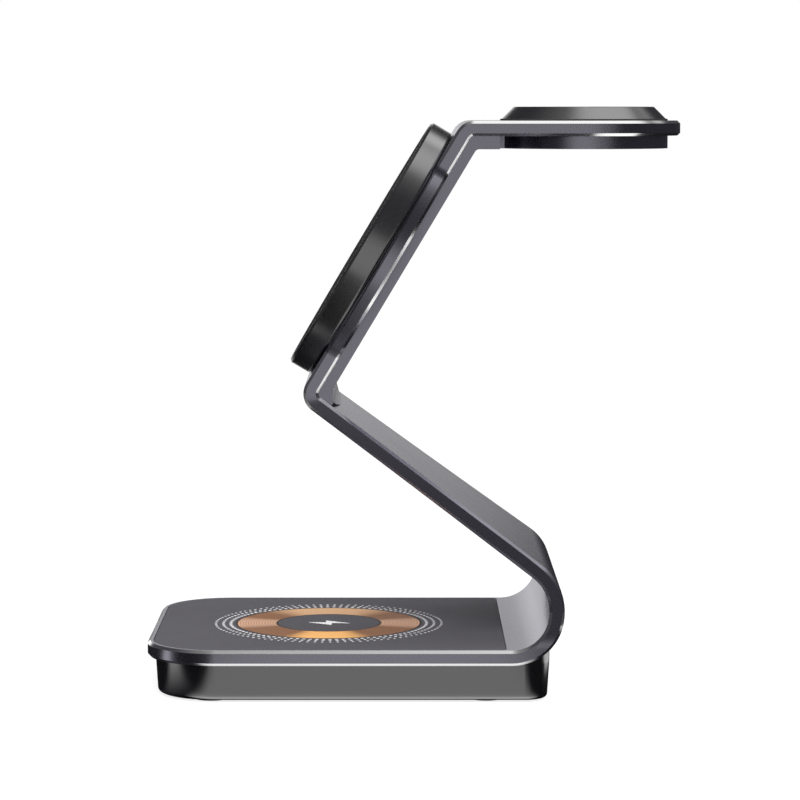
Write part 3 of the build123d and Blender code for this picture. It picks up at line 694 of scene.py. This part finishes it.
print("sheet of", len(runs), "flat runs and", len(bends), "bends")

# %% Copy of the plate
merge_distance = 0.002 * MM
flat_angle, sharp_angle = math.radians(0.05), math.radians(20)
even_weight = 100


def merged_copy(node, name):
    """A new piece with the mesh of a node, its corners joined and its flat faces made whole."""
    mesh = frame["nodes"][node].data.copy()
    mesh.name = name
    mesh.attributes.remove(mesh.attributes["custom_normal"])
    form = bmesh.new()
    form.from_mesh(mesh)
    bmesh.ops.remove_doubles(form, verts=form.verts, dist=merge_distance)
    bmesh.ops.dissolve_limit(form, angle_limit=flat_angle, verts=form.verts, edges=form.edges)
    for edge in form.edges:
        edge.smooth = edge.calc_face_angle(0) < sharp_angle
    for face in form.faces:
        face.smooth = True
    form.to_mesh(mesh)
    form.free()
    piece = bpy.data.objects.new(name, mesh)
    scene.collection.objects.link(piece)
    even = piece.modifiers.new("even_shading", "WEIGHTED_NORMAL")
    even.keep_sharp = True
    even.weight = even_weight
    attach(piece, "root")
    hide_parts(node)
    return piece


plate = merged_copy("z_frame", "bent_plate")
plate.data.materials.clear()
plate.data.materials.append(finishes["anodised_aluminium"])
plate.data.materials.append(finishes["bright_cut"])
print("bent plate:", len(plate.data.polygons), "faces")

# %% [markdown]
# Two stretches of the chamfers keep the anodised finish: those of the disc behind the phone pad, and
# those of the lower arm, which look as grey as the faces beside them. They are found by their place:
# the first by their distance from the pad's axis, the second by their height.

# %% Bright chamfers
slant_low, slant_high = 0.45, 0.93
pad_front = Vector((-math.sin(phone_lean), 0, math.cos(phone_lean)))
disc_middle, disc_inner, disc_outer = -6 * MM, 26 * MM, 28.6 * MM
arm_low, arm_high = bends[0][0].y * MM, (corners[2].y - bends[1][1]) * MM

chamfers = 0
for face in plate.data.polygons:
    slant = abs(face.normal.dot(sheet_direction(face.center / MM)))
    from_pad = face.center - pad_centre
    before_pad = from_pad.dot(pad_front)
    from_axis = (from_pad - before_pad * pad_front).length
    behind_pad = before_pad > disc_middle and disc_inner < from_axis < disc_outer
    on_lower_arm = arm_low < face.center.z < arm_high
    is_bright = slant_low < slant < slant_high and not behind_pad and not on_lower_arm
    face.material_index = int(is_bright)
    chamfers += is_bright
print(chamfers, "faces on bright chamfers")

# %% [markdown]
# ## Bolt sign
# A small white bolt in the middle of the copper ring says that this is where to charge. It is a film
# print, so the piece is a very thin plate: its outline is one face, which is extruded.

# %% Bolt sign
bolt_outline = [(4.3, -0.66), (-0.6, 2.64), (-0.6, 0.33), (-4.3, 0.66), (0.6, -2.64), (0.6, -0.33)]
film = 0.02 * MM
new_finish("sign_white", grey(0.84), grey(0.92), (0.45, 0.60), 0.20, 0.05)

bolt_mesh = bpy.data.meshes.new("bolt_sign")
bolt_form = bmesh.new()
bolt_places = [ring_centre + Vector((x, y, 0)) * MM for x, y in reversed(bolt_outline)]
bolt_corners = [bolt_form.verts.new(place) for place in bolt_places]
bolt_face = bolt_form.faces.new(bolt_corners)
raised = bmesh.ops.extrude_face_region(bolt_form, geom=[bolt_face])
raised_corners = [item for item in raised["geom"] if isinstance(item, bmesh.types.BMVert)]
bmesh.ops.translate(bolt_form, verts=raised_corners, vec=(0, 0, film))
bmesh.ops.recalc_face_normals(bolt_form, faces=bolt_form.faces)
bolt_form.to_mesh(bolt_mesh)
bolt_form.free()
bolt = bpy.data.objects.new("bolt_sign", bolt_mesh)
scene.collection.objects.link(bolt)
bolt_mesh.materials.append(finishes["sign_white"])
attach(bolt, "root")
print("bolt sign", [round(value / MM, 2) for value in bolt.dimensions], "mm")

# %% [markdown]
# ## Dark ring under the puck
# A thin black rubber ring at the foot of the puck is painted shade: it darkens the seam between the
# puck and the top plate, where shadow falls, to a dark line. It is a ring with a softened outer
# corner: a small section, spun once round the middle of the puck.

# %% Puck shade ring
shade_ring_height, shade_ring_width, shade_ring_corner, shade_ring_proud = 0.35 * MM, 0.7 * MM, 0.1 * MM, 0.02 * MM
shade_ring_steps = 128
shade_ring_merge = 0.001 * MM
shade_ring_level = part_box("z_frame")[1].z
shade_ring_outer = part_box("watch_puck")[1].x - puck_centre.x + shade_ring_proud
shade_ring_section = [
    (shade_ring_outer - shade_ring_width, 0),
    (shade_ring_outer, 0),
    (shade_ring_outer, shade_ring_height - shade_ring_corner),
    (shade_ring_outer - shade_ring_corner, shade_ring_height),
    (shade_ring_outer - shade_ring_width, shade_ring_height),
]
shade_ring_middle = Vector((puck_centre.x, puck_centre.y, shade_ring_level))

shade_ring_mesh = bpy.data.meshes.new("puck_shade_ring")
shade_ring_form = bmesh.new()
shade_ring_corners = [shade_ring_form.verts.new(shade_ring_middle + Vector((x, 0, z))) for x, z in shade_ring_section]
shade_ring_pairs = zip(shade_ring_corners, shade_ring_corners[1:] + shade_ring_corners[:1])
shade_ring_edges = [shade_ring_form.edges.new(pair) for pair in shade_ring_pairs]
bmesh.ops.spin(
    shade_ring_form, geom=shade_ring_corners + shade_ring_edges, cent=shade_ring_middle, axis=(0, 0, 1),
    angle=full_turn, steps=shade_ring_steps, use_merge=True,
)
bmesh.ops.remove_doubles(shade_ring_form, verts=shade_ring_form.verts, dist=shade_ring_merge)
bmesh.ops.recalc_face_normals(shade_ring_form, faces=shade_ring_form.faces)
shade_ring_form.to_mesh(shade_ring_mesh)
shade_ring_form.free()
shade_ring = bpy.data.objects.new("puck_shade_ring", shade_ring_mesh)
scene.collection.objects.link(shade_ring)
# the black rubber finish makes this ring a painted shadow line in the seam under the puck
shade_ring_mesh.materials.append(finishes["foot_rubber"])
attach(shade_ring, "root")
print("puck seal", [round(value / MM, 2) for value in shade_ring.dimensions], "mm")
